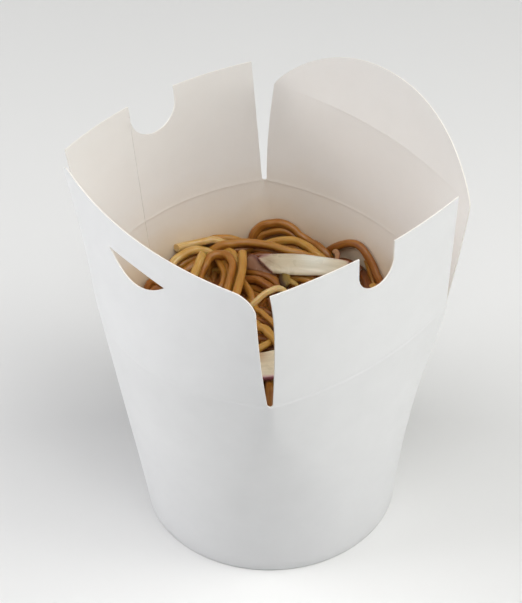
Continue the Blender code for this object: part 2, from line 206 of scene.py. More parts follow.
@dataclass(frozen=True)
class Panel:
    """A board surface of straight rulings from a crease to a free edge."""

    facing: float
    crease: Edge
    top: Edge

    @property
    def length(self):
        corner = np.float64(1)
        return float(np.linalg.norm(self.top.points(corner) - self.crease.points(corner)))

    def surface(self, along, up):
        """Points of the outer face, `along` from the middle and `up` from the crease."""
        share = up / self.length
        u = along / (self.crease.half + (self.top.half - self.crease.half) * share)
        share = share[..., None]
        return self.crease.points(u) * (1 - share) + self.top.points(u) * share

    def outward(self, along, up):
        step = 0.2
        across = self.surface(along + step, up) - self.surface(along - step, up)
        rise = self.surface(along, up + step) - self.surface(along, up - step)
        return unit(np.cross(across, rise))


def unit(vectors):
    return vectors / np.linalg.norm(vectors, axis=-1, keepdims=True)


TUCK_CREASE = Edge(48.3, 45.6, 7.2, TUCK_TOP, 0.7)
TONGUE_OUT = TONGUE_LENGTH * sin(radians(TONGUE_TILT))
TONGUE_UP = TONGUE_LENGTH * cos(radians(TONGUE_TILT))
TONGUE_TOP = Edge(TUCK_CREASE.half, TUCK_CREASE.out + TONGUE_OUT, TUCK_CREASE.bulge,
                  TUCK_CREASE.height + TONGUE_UP, TUCK_CREASE.rise)

TUCK = Panel(0, Edge(MOUTH_HALF_Y, MOUTH_HALF_X, 12.9, CREASE_HEIGHT, 0.2), TUCK_CREASE)
BACK = Panel(90, Edge(MOUTH_HALF_X, MOUTH_HALF_Y, 8.4, CREASE_HEIGHT, 1.2),
             Edge(40.1, 54.6, 6.2, FLAP_TOP, 0.4))
SLOTTED = Panel(180, Edge(MOUTH_HALF_Y, MOUTH_HALF_X, 17.3, CREASE_HEIGHT, -1.2),
                Edge(48.2, 46.0, 7.1, SLOTTED_TOP, -1.4))
FRONT = Panel(270, Edge(MOUTH_HALF_X, MOUTH_HALF_Y, 6.3, CREASE_HEIGHT, 0),
              Edge(38.1, 49.9, 3.1, FLAP_TOP, -0.2))
TONGUE = Panel(0, TUCK_CREASE, TONGUE_TOP)
SIDES = (TUCK, BACK, SLOTTED, FRONT)


def turned(points, degrees):
    """Points turned about the box axis."""
    c, s = cos(radians(degrees)), sin(radians(degrees))
    return points @ np.array([[c, s, 0], [-s, c, 0], [0, 0, 1]])


def polar(radius, angles, height):
    """Points at a distance from the box axis, at angles round it and at a height."""
    return np.stack(np.broadcast_arrays(radius * np.cos(angles), radius * np.sin(angles), height), -1)


def smoothstep(value, low, high):
    share = np.clip((value - low) / (high - low), 0, 1)
    return share * share * (3 - 2 * share)


def score(distance):
    """Profile of a scored crease at a distance from its line."""
    return np.exp(-(distance / SCORE_WIDTH) ** 2)


def relief(crease, along_back):
    """How far the creases and the glued seam set the outer face in, and the inner face in."""
    ramp = smoothstep(along_back, SEAM_OUTER - SEAM_RAMP, SEAM_OUTER)
    recess = SCORE_GROOVE * crease + SEAM_STEP * (along_back < SEAM_OUTER) * ramp
    raised = SCORE_BEAD * crease + SEAM_STEP * (along_back < SEAM_INNER) * ramp
    return recess[..., None], raised[..., None]


# ---- materials

class Look:
    """A procedural material: its node tree and its Principled shader, with plain values on its sockets."""

    def __init__(self, name, **inputs):
        self.material = bpy.data.materials.new(name)
        self.material.use_nodes = True
        self.tree = self.material.node_tree
        self.shader = self.tree.nodes["Principled BSDF"]
        self.fill(self.shader, {key.replace("_", " "): value for key, value in inputs.items()})

    def fill(self, node, inputs):
        """Set a node's inputs to values, or link them to sockets."""
        for key, value in inputs.items():
            if isinstance(value, bpy.types.NodeSocket):
                self.tree.links.new(value, node.inputs[key])
            else:
                node.inputs[key].default_value = value

    def node(self, kind, inputs=None, output=0, **settings):
        """An output of a new shader node."""
        node = self.tree.nodes.new("ShaderNode" + kind)
        for key, value in settings.items():
            setattr(node, key, value)
        self.fill(node, inputs or {})
        return node.outputs[output]

    def attribute(self, name, output="Fac"):
        return self.node("Attribute", output=output, attribute_name=name)

    def noise(self, vector, stretch, scale, detail):
        place = self.node("Mapping", {"Vector": vector, "Scale": stretch})
        return self.node("TexNoise", {"Vector": place, "Scale": scale, "Detail": detail, "Roughness": 0.55})

    def cloud(self, scale, detail, stretch=(1, 1, 1)):
        """Noise in the piece's own space."""
        return self.noise(self.node("TexCoord", output="Object"), stretch, scale, detail)

    def streaks(self, name, stretch):
        """Noise along the grain that an attribute gives."""
        return self.noise(self.attribute(name, "Vector"), stretch, 1.0, 3)

    def ramp(self, factor, stops):
        """A colour ramp through (position, colour) stops."""
        colour = self.node("ValToRGB", {"Fac": factor})
        elements = colour.node.color_ramp.elements
        while len(elements) < len(stops):
            elements.new(0.5)
        for element, (position, tint) in zip(elements, stops):
            element.position = position
            element.color = (*tint, 1)
        return colour

    def mixed(self, factor, a, b, blend="MIX"):
        """Colour a where the factor is 0, b where it is 1."""
        a, b = (value if isinstance(value, bpy.types.NodeSocket) else (*value, 1) for value in (a, b))
        return self.node("Mix", {0: factor, 6: a, 7: b}, 2, data_type="RGBA", blend_type=blend)

    def multiplied(self, a, b):
        return self.mixed(1, a, b, "MULTIPLY")

    def scaled(self, value, low, high, start=0, end=1):
        """A value from start to end, mapped to low to high."""
        return self.node("MapRange", {"Value": value, "From Min": start, "From Max": end,
                                      "To Min": low, "To Max": high})

    def total(self, a, b):
        return self.node("Math", {0: a, 1: b}, operation="ADD")

    def finish(self, colour, gloss, height, strength, distance):
        """The material, with its colour, its roughness and its fine relief."""
        bump = self.node("Bump", {"Height": height, "Strength": strength, "Distance": distance})
        self.fill(self.shader, {"Base Color": colour, "Roughness": gloss, "Normal": bump})
        return self.material


# Tints on the board by height: inside, a film of sauce with painted warm shade that fades out above the
# noodles; outside, painted shade that darkens the foot.
SAUCE_AND_SHADE_FILM = ((64, (0.80, 0.61, 0.40)), (76, (0.885, 0.775, 0.62)), (86, (0.955, 0.915, 0.855)),
              (102, (1, 1, 1)))
FOOT_SHADE = ((0, (0.90, 0.90, 0.905)), (20, (0.945, 0.945, 0.95)), (60, (1, 1, 1)))
NOODLE_TONES = ((0.00, (0.60, 0.42, 0.18)), (0.14, (0.50, 0.285, 0.062)), (0.34, (0.43, 0.205, 0.032)),
                (0.58, (0.35, 0.14, 0.019)), (0.76, (0.26, 0.086, 0.013)), (1.00, (0.11, 0.029, 0.007)))
RIND_TONES = ((0.30, (1, 1, 1)), (0.55, (0.78, 0.55, 0.62)), (0.80, (0.34, 0.11, 0.18)),
              (1.00, (0.17, 0.04, 0.07)))


def shaded_by_height(look, colour, height_shade):
    """The colour under a tint that follows the height: painted shade, with sauce on the inside."""
    height = look.node("SeparateXYZ", {"Vector": look.node("TexCoord", output="Object")}, "Z")
    uneven = look.scaled(look.cloud(45, 3), -0.006, 0.006)
    low, high = height_shade[0][0] * MM, height_shade[-1][0] * MM
    share = look.scaled(look.total(height, uneven), 0, 1, low, high)
    tints = [((level * MM - low) / (high - low), tint) for level, tint in height_shade]
    return look.multiplied(colour, look.ramp(share, tints))


def board_material(name, colour, shade, gloss, fibre, height_shade):
    """Coated board: cloudy formation, faint fibres, a coat whose gloss varies a little, and painted shade
    by height.
    """
    look = Look(name, Specular_IOR_Level=0.45)
    cloud = look.cloud(95, 4)
    tint = look.mixed(look.scaled(cloud, -0.4, 1.4), colour, shade)
    gloss = look.scaled(cloud, gloss - 0.06, gloss + 0.08)
    return look.finish(shaded_by_height(look, tint, height_shade), gloss, look.cloud(1500, 2, (1, 1, 0.35)), fibre, 0.00006)


def cut_edge_material():
    """The board's raw cut edge: soft, bright, slightly creamy fibre."""
    look = Look("board_cut", Roughness=0.75, Specular_IOR_Level=0.2)
    fibres = look.mixed(look.cloud(2500, 2), (0.93, 0.90, 0.86), (0.80, 0.76, 0.71))
    look.fill(look.shader, {"Base Color": fibres})
    return look.material


def noodle_material():
    """Egg noodle: tone by strand, streaks along it that are partly painted oily highlights, wet sauce on
    its surface.
    """
    look = Look("noodle", Specular_IOR_Level=0.5, Subsurface_Weight=0.35,
                Subsurface_Radius=(1.0, 0.45, 0.12), Subsurface_Scale=0.0022)
    streaks = look.streaks("strand", (0.11, 2.2, 1))
    blotches = look.cloud(210, 3)
    # The streaks shift the tone: real streaks along the strand, with lighter ones as painted oily
    # highlights.
    mottle_and_sheen = look.total(look.scaled(streaks, -0.30, 0.30), look.scaled(blotches, -0.18, 0.18))
    colour = look.ramp(look.total(look.attribute("tone"), mottle_and_sheen), NOODLE_TONES)
    pores = look.total(look.cloud(1300, 2), look.scaled(streaks, 0, 1.6))
    return look.finish(colour, look.scaled(blotches, 0.22, 0.52), pores, 0.35, 0.00012)


def sauce_and_shade_material():
    """The heap's core, seen only in the gaps between strands: dark wet sauce, and painted shade for the
    deep gaps.
    """
    look = Look("sauce_and_shade_core", Specular_IOR_Level=0.5)
    lumps = look.cloud(260, 4)
    # Darker than the noodles: sauce, and painted shade in the deep gaps between strands.
    colour = look.mixed(lumps, (0.16, 0.045, 0.010), (0.34, 0.105, 0.020))
    return look.finish(colour, look.scaled(lumps, 0.3, 0.5), lumps, 0.8, 0.0008)


def onion_material():
    """Red onion: cream-white flesh with veins along it, purple towards the skin."""
    look = Look("red_onion_flesh", Specular_IOR_Level=0.55, Subsurface_Weight=0.25,
                Subsurface_Radius=(1.0, 0.7, 0.6), Subsurface_Scale=0.002)
    veins = look.streaks("grain", (0.06, 0.9, 0.5))
    cloud = look.cloud(160, 2)
    flesh = look.mixed(veins, (0.76, 0.70, 0.57), (0.48, 0.42, 0.31))
    rind = look.ramp(look.total(look.attribute("skin"), look.scaled(cloud, -0.18, 0.18)), RIND_TONES)
    colour = look.multiplied(look.multiplied(flesh, look.attribute("tint", "Vector")), rind)
    return look.finish(colour, look.scaled(cloud, 0.2, 0.4), veins, 0.4, 0.0002)


def leaf_material():
    """Spring onion: pale yellow-green with veins along it, and painted shade where it curls under."""
    look = Look("spring_onion", Specular_IOR_Level=0.25, Subsurface_Weight=0.2,
                Subsurface_Radius=(0.6, 1.0, 0.2), Subsurface_Scale=0.001)
    veins = look.streaks("grain", (0.15, 1.8, 1))
    pale = look.mixed(veins, (0.36, 0.235, 0.055), (0.12, 0.07, 0.010))
    pale = look.multiplied(pale, look.attribute("tint", "Vector"))
    # Painted shade: the band along the skin edge turns the leaf almost black where it curls under.
    colour = look.mixed(look.attribute("skin"), pale, (0.05, 0.022, 0.006))
    return look.finish(colour, look.scaled(veins, 0.45, 0.65), veins, 0.4, 0.0002)


# ---- meshes

def link(name, data):
    """An object in the scene for a mesh, a light or a camera."""
    thing = bpy.data.objects.new(name, data)
    bpy.context.scene.collection.objects.link(thing)
    return thing


def add_piece(name, points, faces, materials, indices=None, sharp=35):
    """A smooth-shaded mesh piece from points in millimetres."""
    mesh = bpy.data.meshes.new(name)
    mesh.from_pydata((points * MM + AXIS).tolist(), [], faces)
    for material in materials:
        mesh.materials.append(material)
    if indices is not None:
        mesh.polygons.foreach_set("material_index", indices)
    mesh.validate()
    mesh.shade_smooth()
    mesh.set_sharp_from_angle(angle=radians(sharp))
    return link(name, mesh)


def add_attribute(piece, name, kind, values):
    """A value on each vertex for the materials to read."""
    attribute = piece.data.attributes.new(name, kind, "POINT")
    key = "value" if kind == "FLOAT" else "vector"
    attribute.data.foreach_set(key, np.asarray(values, np.float32).ravel())


def neighbours(loop):
    """Each member of a closed loop with the next."""
    return zip(loop, loop[1:] + loop[:1])


def ring_faces(rings, count, first=0, closed=False):
    """Faces that join each ring of points to the next, and the last to the first where that is closed."""
    faces = []
    for row in range(rings if closed else rings - 1):
        here = first + row * count
        there = first + (row + 1) % rings * count
        for i in range(count):
            j = (i + 1) % count
            faces.append((here + i, there + i, there + j, here + j))
    return faces


# ---- flaps

def arc(centre, radius, start, end, count):
    angles = [radians(start + (end - start) * i / count) for i in range(count + 1)]
    return [(centre[0] + radius * cos(a), centre[1] + radius * sin(a)) for a in angles]


def divided(outline, step):
    """The closed outline with its long straight runs divided into short ones."""
    points = []
    for (x0, y0), (x1, y1) in neighbours(outline):
        count = max(1, round(dist((x0, y0), (x1, y1)) / step))
        shares = [i / count for i in range(count)]
        points += [(x0 + (x1 - x0) * share, y0 + (y1 - y0) * share) for share in shares]
    return points


def inside(points, *loops):
    """Which of the points lie inside closed loops, and not in loops within them."""
    x, y = points.T
    hit = np.zeros(len(points), bool)
    for loop in loops:
        for (x0, y0), (x1, y1) in neighbours(loop):
            crosses = (y0 > y) != (y1 > y)
            hit ^= crosses & (x < x0 + (x1 - x0) * (y - y0) / ((y1 - y0) or 1))
    return hit


def flat_triangles(outline, holes, columns, rows):
    """Triangles of the flat outline, with inner points on columns and rows so that it can be bent."""
    loops = [divided(outline, OUTLINE_STEP)] + [divided(hole, OUTLINE_STEP / 2) for hole in holes]
    points, edges = [], []
    for loop in loops:
        order = list(range(len(points), len(points) + len(loop)))
        points += loop
        edges += neighbours(order)
    grid = np.array([(x, y) for y in rows for x in columns])
    nearest = np.linalg.norm(grid[:, None] - np.array(points), axis=-1).min(1)
    clear = nearest > np.minimum(0.5, 0.45 * np.maximum(grid[:, 1], 0.4))
    points += grid[clear & inside(grid, *loops)].tolist()
    inner_triangles = 1
    flat, _, faces, *_ = delaunay_2d_cdt([Vector(p) for p in points], edges, [], inner_triangles, 1e-7)
    flat = np.array([tuple(p) for p in flat])
    middles = np.array([flat[list(face)].mean(0) for face in faces])
    in_hole = inside(middles, *loops[1:])
    return flat, [tuple(face) for face, out in zip(faces, in_hole) if not out]


def build_board(name, panel, outline, holes=(), scored_top=False):
    """A flap: its flat outline bent onto the panel, with thickness, creases and the back's glued seam."""
    half = max(abs(x) for x, _ in outline)
    columns = list(np.arange(-floor(half / COLUMN), half / COLUMN) * COLUMN)
    columns += SEAM_COLUMNS if panel is BACK else ()
    rows = list(SCORE_ROWS) + list(np.arange(SCORE_ROWS[-1] + ROW / 2, panel.length, ROW))
    if scored_top:
        rows = [row for row in rows if row < panel.length - SCORE_ROWS[-1]]
        rows += [panel.length - row for row in SCORE_ROWS]
    flat, faces = flat_triangles(outline, holes, columns, rows)
    along, up = flat.T
    crease = score(up) * (TONGUE_SCORE if panel is TONGUE else 1)
    crease += score(panel.length - up) * (TONGUE_SCORE if scored_top else 0)
    recess, raised = relief(crease, along if panel is BACK else np.full(len(flat), NO_SEAM))
    surface, outward = panel.surface(along, up), panel.outward(along, up)
    outer = surface - outward * recess
    inner = surface - outward * (BOARD + raised)
    points = turned(np.concatenate([outer, inner]), panel.facing)
    count = len(flat)
    border = {edge for face in faces for edge in neighbours(face)}
    rim = [(b, a, a + count, b + count) for a, b in sorted(border) if (b, a) not in border]
    all_faces = faces + [tuple(i + count for i in reversed(face)) for face in faces] + rim
    indices = [0] * len(faces) + [1] * len(faces) + [2] * len(rim)
    return add_piece(name, points, all_faces, BOARD_MATERIALS, indices)


def slit_side(panel, side, upper_end, bow=0.0, flare=0.0):
    """A flap's side edge upwards from the slit's round foot, bowed in the middle and flared at the top."""
    foot = panel.crease.half - SLIT_HALF
    points = [(side * x, y) for x, y in arc((panel.crease.half, SLIT_HALF), SLIT_HALF, -90, -180, 6)]
    for share in [i / SLIT_STEPS for i in range(1, SLIT_STEPS + 1)]:
        up = SLIT_HALF + (upper_end - SLIT_HALF) * share
        half = foot + (panel.top.half - foot) * share + bow * 4 * share * (1 - share) + flare * share ** 4
        points.append((side * half, up))
    return points


def build_notched_flap(name, panel, radius, front_slit=(0, 0), lift=(0, 0)):
    notch = arc((0, NOTCH_FOOT + radius), radius, 0, -180, 28)
    right = slit_side(panel, 1, panel.length)
    left = slit_side(panel, -1, panel.length + lift[0], *front_slit)
    outline = right + [(radius, panel.length), *notch, (-radius, panel.length + lift[1])] + left[::-1]
    return build_board(name, panel, outline)


def build_slotted_flap(name, panel):
    inset = panel.top.half - CORNER_ROUND
    level = panel.length - CORNER_ROUND
    right = slit_side(panel, 1, level + CORNER_LIFT, bow=SLOTTED_BOW)
    left = slit_side(panel, -1, level)
    corners = (arc((inset, level + CORNER_LIFT), CORNER_ROUND, 0, 90, 14)[1:] +
               arc((-inset, level), CORNER_ROUND, 90, 180, 14)[:-1])
    shares = [-1 + i / 12 for i in range(25)]
    slot = [(SLOT_HALF * u, SLOT_TOP - SLOT_DEPTH * (1 - u * u)) for u in shares]
    slot += [(SLOT_HALF * u, SLOT_TOP + SLOT_CROWN * (1 - u * u)) for u in reversed(shares[1:-1])]
    return build_board(name, panel, right + corners + left[::-1], [slot])


def build_tuck_flap(name, panel):
    right, left = (slit_side(panel, side, panel.length, bow=TUCK_BOW) for side in (1, -1))
    return build_board(name, panel, right + left[::-1], scored_top=True)


def build_tongue(name, panel):
    half = panel.crease.half
    outline = [(-half, 0), (half, 0)]
    points = 72
    for u in [cos(pi * i / points) for i in range(1, points)]:
        reach = (1 - abs(u) ** TONGUE_FULLNESS) ** (1 / TONGUE_SHOULDER)
        outline.append((half * u, panel.length * reach))
    return build_board(name, panel, outline)


# ---- tub

def smooth_least(a, b, blend):
    """The smaller of a and b, with the corner between them rounded over a blend."""
    share = np.clip(0.5 + 0.5 * (b - a) / blend, 0, 1)
    return b + (a - b) * share - blend * share * (1 - share)


class Tub:
    """The wall's outer surface between the round base and the creases, by station and height."""

    def __init__(self):
        stations = []
        for index, side in enumerate(SIDES):
            half = side.crease.half
            along = list(np.linspace(-half, half, STATIONS, endpoint=False))
            along += SEAM_COLUMNS if side is BACK else ()
            for place in sorted(along):
                x, y, height = side.crease.points(place / half)
                turn = -1 if place < 0 else 1
                beside = SIDES[(index + turn) % len(SIDES)]
                other = beside.crease.radius_at(atan2(y, x) - turn * pi / 2)
                stations.append((atan2(y, x) + radians(side.facing), height, hypot(x, y), other,
                                 place if side is BACK else NO_SEAM))
        self.angles, self.crease, self.own, self.other, self.along_back = np.array(stations).T

    def ring(self, height):
        """The outer face's ring of points where each station stands at its own height."""
        below = self.crease - height
        rounding = RIDGE_ROUND + RIDGE_FADE * below * np.clip(below / RIDGE_SHARP, 0, 1)
        mouth = smooth_least(self.own, self.other, rounding)
        return polar(BASE_RADIUS + (mouth - BASE_RADIUS) * (height / self.crease), self.angles, height)

    def radius(self, x, y, height):
        """Distance of the outer face from the axis in the direction of x, y, at a height."""
        ring = self.ring(np.full(len(self.angles), float(height)))
        bearing = np.arctan2(ring[:, 1], ring[:, 0])
        order = np.argsort(bearing)
        reach = np.hypot(ring[:, 0], ring[:, 1])
        return np.interp(np.arctan2(y, x), bearing[order], reach[order], period=2 * pi)


def build_wall(name, tub):
    """The board wall with its folded foot: outer face down, round the foot and hem, inner face up."""
    lower = np.linspace(WALL_ROWS_TOP, FOOT_ROUND, WALL_ROWS)
    heights = [tub.crease - drop for drop in (0, *SCORE_ROWS)]
    heights += [np.full(len(tub.crease), height) for height in lower]
    rings = np.stack([tub.ring(height) for height in heights])
    across = np.roll(rings, -1, axis=1) - np.roll(rings, 1, axis=1)
    outward = unit(np.cross(across, -np.gradient(rings, axis=0)))
    recess, raised = relief(score(tub.crease - np.stack(heights)), tub.along_back)
    outer = rings - outward * recess
    inner = rings - outward * (BOARD + raised)

    hem_outer = 2 * BOARD + 2 * GAP
    hem_inner = hem_outer + BOARD
    fold = [(FOOT_ROUND * (1 - cos(a)), FOOT_ROUND * (1 - sin(a))) for a in (0.5, 1.1, pi / 2)]
    profile = fold + [(hem_inner - depth, height) for depth, height in reversed(fold)]
    profile += [(hem_inner, HEM_HEIGHT), (hem_outer, HEM_HEIGHT), (hem_outer, BOARD), (BOARD, BOARD)]
    foot = [polar(BASE_RADIUS - depth, tub.angles, height) for depth, height in profile]
    loops = [*outer, *foot, *inner[::-1]]
    outside = len(outer) + 2 * len(fold) - 1
    kinds = [0] * outside + [1] * (len(loops) - outside - 1) + [2]
    count = len(tub.angles)
    faces = ring_faces(len(loops), count, closed=True)
    return add_piece(name, np.concatenate(loops), faces, BOARD_MATERIALS, np.repeat(kinds, count))


# ---- strands

def fair_curve(points):
    """A smooth curve through the points."""
    points = np.asarray(points, float)
    padded = np.concatenate([[2 * points[0] - points[1]], points, [2 * points[-1] - points[-2]]])
    t = np.linspace(0, 1, 24, endpoint=False)[:, None]
    fine = [0.5 * (2 * b + (c - a) * t + (2 * a - 5 * b + 4 * c - d) * t ** 2
                   + (3 * b - a - 3 * c + d) * t ** 3)
            for a, b, c, d in zip(padded, padded[1:], padded[2:], padded[3:])]
    return np.concatenate(fine + [points[-1:]])


def lengths_along(points):
    """Distance along the line at each of its points."""
    return np.concatenate([[0], np.cumsum(np.linalg.norm(np.diff(points, axis=0), axis=1))])


def divide(points, count):
    """The line through the points, cut into a count of equal steps."""
    lengths = lengths_along(points)
    wanted = np.linspace(0, lengths[-1], count + 1)
    return np.stack([np.interp(wanted, lengths, points[:, k]) for k in range(3)], -1)


class Strands:
    """Many strands gathered into one mesh."""

    def __init__(self, corners):
        self.angles = (2 * np.arange(corners) + 1) * pi / corners
        self.section = np.array([np.cos(self.angles), np.sin(self.angles)])
        self.section = np.sign(self.section) * abs(self.section) ** SQUARENESS
        self.points, self.faces, self.tones, self.places = [], [], [], []

    def add(self, path, width, height, tone, roll, twist, draws):
        """A strand of rounded-square section along a path, cut square at both ends."""
        corners = len(self.angles)
        first = len(self.points) * corners
        tangents = unit(np.gradient(path, axis=0))
        side = np.cross(tangents[0], (0, 0, 1.0))
        vary = draws.uniform(0, 6)
        even = np.ones(corners)
        for point, tangent, along in zip(path, tangents, lengths_along(path)):
            side = unit(side - tangent * (side @ tangent))
            lift = np.cross(side, tangent)
            swell = 1 + SWELL * sin(along / WIDTH_WAVE + vary)
            x, y = self.section * swell * [[width / 2], [height / 2]]
            c, s = cos(roll + twist * along), sin(roll + twist * along)
            self.points.append(point + np.outer(x * c - y * s, side) + np.outer(x * s + y * c, lift))
            self.tones.append(even * (tone + SWELL * sin(along / TONE_WAVE + vary * 2)))
            self.places.append(np.stack([even * (along + vary * STREAK_SHIFT[0]),
                                         self.angles * STREAK_ROUND + vary * STREAK_SHIFT[1],
                                         even * vary], -1))
        last = len(self.points) * corners
        self.faces += ring_faces(len(path), corners, first)
        self.faces += [tuple(range(first, first + corners)), tuple(range(last - 1, last - 1 - corners, -1))]

    def add_loose(self, path, draws, tone=None):
        """A strand of the usual size, a little different each time."""
        width, height = (STRAND * draws.uniform(*span) for span in (LOOSE_WIDTH, LOOSE_HEIGHT))
        tone = draws.uniform(*BED_TONES) if tone is None else tone
        self.add(path, width, height, tone, draws.uniform(*ROLL), draws.uniform(*LOOSE_TWIST), draws)

    def build(self, name, material):
        piece = add_piece(name, np.concatenate(self.points), self.faces, [material], sharp=50)
        add_attribute(piece, "tone", "FLOAT", np.concatenate(self.tones))
        add_attribute(piece, "strand", "FLOAT_VECTOR", np.concatenate(self.places))
        return piece


def heap_top(x, y):
    """Height of the heap's low dome."""
    away = np.hypot(x / MOUTH_HALF_X, y / MOUTH_HALF_Y)
    return HEAP_EDGE + (HEAP_CROWN - HEAP_EDGE) * np.maximum(0, 1 - (away / HEAP_SPREAD) ** 2)


class Pile:
    """How high the contents lie, and how high they may, on a grid seen from above."""

    def __init__(self, tub):
        self.side = int(2 * REACH / CELL) + 1
        axis = np.linspace(-REACH, REACH, self.side)
        x, y = np.meshgrid(axis, axis, indexing="ij")
        self.ceiling = heap_top(x, y)
        self.height = self.ceiling - CORE_DROP
        hollow_x, hollow_y, radius, floor_height = HOLLOW
        self.ceiling[np.hypot(x - hollow_x, y - hollow_y) < radius] = floor_height
        reach = STRAND / 2
        span = np.arange(-ceil(reach / CELL), ceil(reach / CELL) + 1)
        dx, dy = np.meshgrid(span, span, indexing="ij")
        away = np.hypot(dx, dy) * CELL
        near = away < reach
        self.dx, self.dy = dx[near], dy[near]
        self.cap = np.sqrt(reach ** 2 - away[near] ** 2)
        wide, narrow = (tub.radius(x.ravel(), y.ravel(), level).reshape(x.shape) for level in ROOM_LEVELS)
        self.room = wide - np.hypot(x, y)
        self.taper = (wide - narrow) / (ROOM_LEVELS[0] - ROOM_LEVELS[1])

    def middles(self, path):
        """The grid cells below the path."""
        return tuple(np.rint((path[:, :2].T + REACH) / CELL).astype(int))

    def cells(self, path):
        """The grid cells below a strand laid along the path."""
        i, j = self.middles(path)
        return (np.clip(i[:, None] + self.dx, 0, self.side - 1),
                np.clip(j[:, None] + self.dy, 0, self.side - 1))

    def rest(self, path):
        """Heights at which a strand laid along the path just touches what lies below it."""
        return (self.height[self.cells(path)] + self.cap).max(1)

    def headroom(self, path):
        """How far below the ceiling the strand's top stays."""
        return (self.ceiling[self.cells(path)] - self.cap).min(1) - path[:, 2]

    def room_at(self, x, y):
        """Distance from the wall's outer face at the heap's height."""
        return self.room[round((x + REACH) / CELL), round((y + REACH) / CELL)]

    def clear_of_wall(self, path):
        """The path, moved inwards where it would come too near the wall at its own height."""
        spots = self.middles(path)
        room = self.room[spots] - self.taper[spots] * (ROOM_LEVELS[0] - path[:, 2])
        inwards = np.maximum(0, WALL_ROOM - room) / np.hypot(path[:, 0], path[:, 1])
        return path * np.column_stack([1 - inwards, 1 - inwards, np.ones(len(path))])

    def emptiness(self, path):
        """How much is left to fill, on average, below a strand laid along the path."""
        cells = self.cells(path)
        return (self.ceiling[cells] - self.height[cells]).mean()

    def settle(self, path):
        """Raise the pile by a strand."""
        np.maximum.at(self.height, self.cells(path), path[:, 2:3] + self.cap - PRESS)

    def reserve(self, path):
        """Keep strands laid later below this one."""
        np.minimum.at(self.ceiling, self.cells(path), path[:, 2:3] - self.cap - UNDER_LAID)


def wander(pile, draws, length):
    """A strand's plan: it curls at random and turns back from the wall."""
    x = y = REACH
    while pile.room_at(x, y) <= WALL_ROOM:
        x, y = draws.uniform(-REACH, REACH), draws.uniform(-REACH, REACH)
    heading = draws.uniform(0, 2 * pi)
    bend = draws.uniform(-1, 1) / draws.uniform(*FIRST_CURL)
    path = []
    for k in range(int(length / STRAND_STEP)):
        path.append((x, y, 0))
        if k % CURL_STEPS == 0:
            wanted = draws.uniform(-1, 1) / draws.uniform(*CURL)
        bend += (wanted - bend) * CURL_EASE
        heading += bend * STRAND_STEP
        room = pile.room_at(x, y)
        if room < TURN_ROOM:
            off = (heading - atan2(-y, -x) + pi) % (2 * pi) - pi
            tangent = pi / 2 - TURN_LEAN * (TURN_ROOM - room)
            if abs(off) > tangent:
                heading += (copysign(tangent, off) - off) * TURN_EASE
        x += cos(heading) * STRAND_STEP
        y += sin(heading) * STRAND_STEP
    return np.array(path)


def smoothed(values, window):
    kernel = np.hanning(window + 2)[1:-1]
    padded = np.pad(values, window // 2, mode="edge")
    return np.convolve(padded, kernel / kernel.sum(), mode="valid")[:len(values)]


def draped(needed):
    """The softest line that stays on or above the heights a strand needs."""
    line = needed
    for window in DRAPE:
        line = np.maximum(needed, smoothed(line, window))
    return smoothed(line, SMOOTHING)


def bed_strands(pile, strands, draws, heading, rise, share):
    """Wavy strands side by side over the core, cut to random lengths, of which a share is laid."""
    away = np.array([cos(heading), sin(heading)])
    aside = np.array([-away[1], away[0]])
    run = np.arange(-REACH, REACH, STRAND_STEP)
    wave = sum(swing * np.sin(run / span + phase) for swing, span, phase in BED_SWING)
    for offset in np.arange(-REACH, REACH, BED_SPACING):
        shift = offset + wave * (1 + BED_FAN * offset) + draws.uniform(-BED_JITTER, BED_JITTER)
        plan = run[:, None] * away + shift[:, None] * aside
        ripple = BED_RIPPLE * np.sin(run / draws.uniform(*BED_RIPPLE_SPAN) + draws.uniform(0, 6))
        path = np.column_stack([plan, heap_top(*plan.T) - CORE_DROP + rise + ripple])
        path = path[abs(plan).max(1) < REACH - 1]
        path = path[pile.room[pile.middles(path)] > BED_ROOM]
        while len(path) > 4:
            count = round(draws.uniform(*BED_CUTS) / STRAND_STEP)
            if len(path) - count < BED_REST:
                count = len(path)
            piece, path = path[:count].copy(), path[count:]
            if draws.random() > share:
                continue
            piece[:, 2] = smoothed(piece[:, 2] + np.minimum(0, pile.headroom(piece)), SMOOTHING)
            piece = pile.clear_of_wall(piece)
            pile.settle(piece)
            strands.add_loose(piece, draws)


def drop_strands(pile, strands, draws):
    """Lay strands one by one, each time the one of several that fills the emptiest ground."""
    for shortest, longest, wanted in DROPPED:
        for _ in range(wanted):
            best, emptiest = None, 0
            for _ in range(CHOICES):
                path = wander(pile, draws, draws.uniform(shortest, longest))
                path[:, 2] = draped(pile.rest(path))
                low = pile.headroom(path).min() > -OVER_CEILING
                if low and pile.room[pile.middles(path)].min() > WALL_ROOM:
                    if pile.emptiness(path) > emptiest:
                        best, emptiest = path, pile.emptiness(path)
            if best is None:
                continue
            pile.settle(best)
            ends = np.minimum(np.arange(len(best)), np.arange(len(best))[::-1]) * STRAND_STEP
            best[:, 2] -= END_DIVE * (1 - smoothstep(ends, 0, DIVE_LENGTH))
            least, mean, most, spread = DROPPED_TONES
            tone = min(most, max(least, draws.gauss(mean, spread)))
            strands.add_loose(pile.clear_of_wall(best), draws, tone)
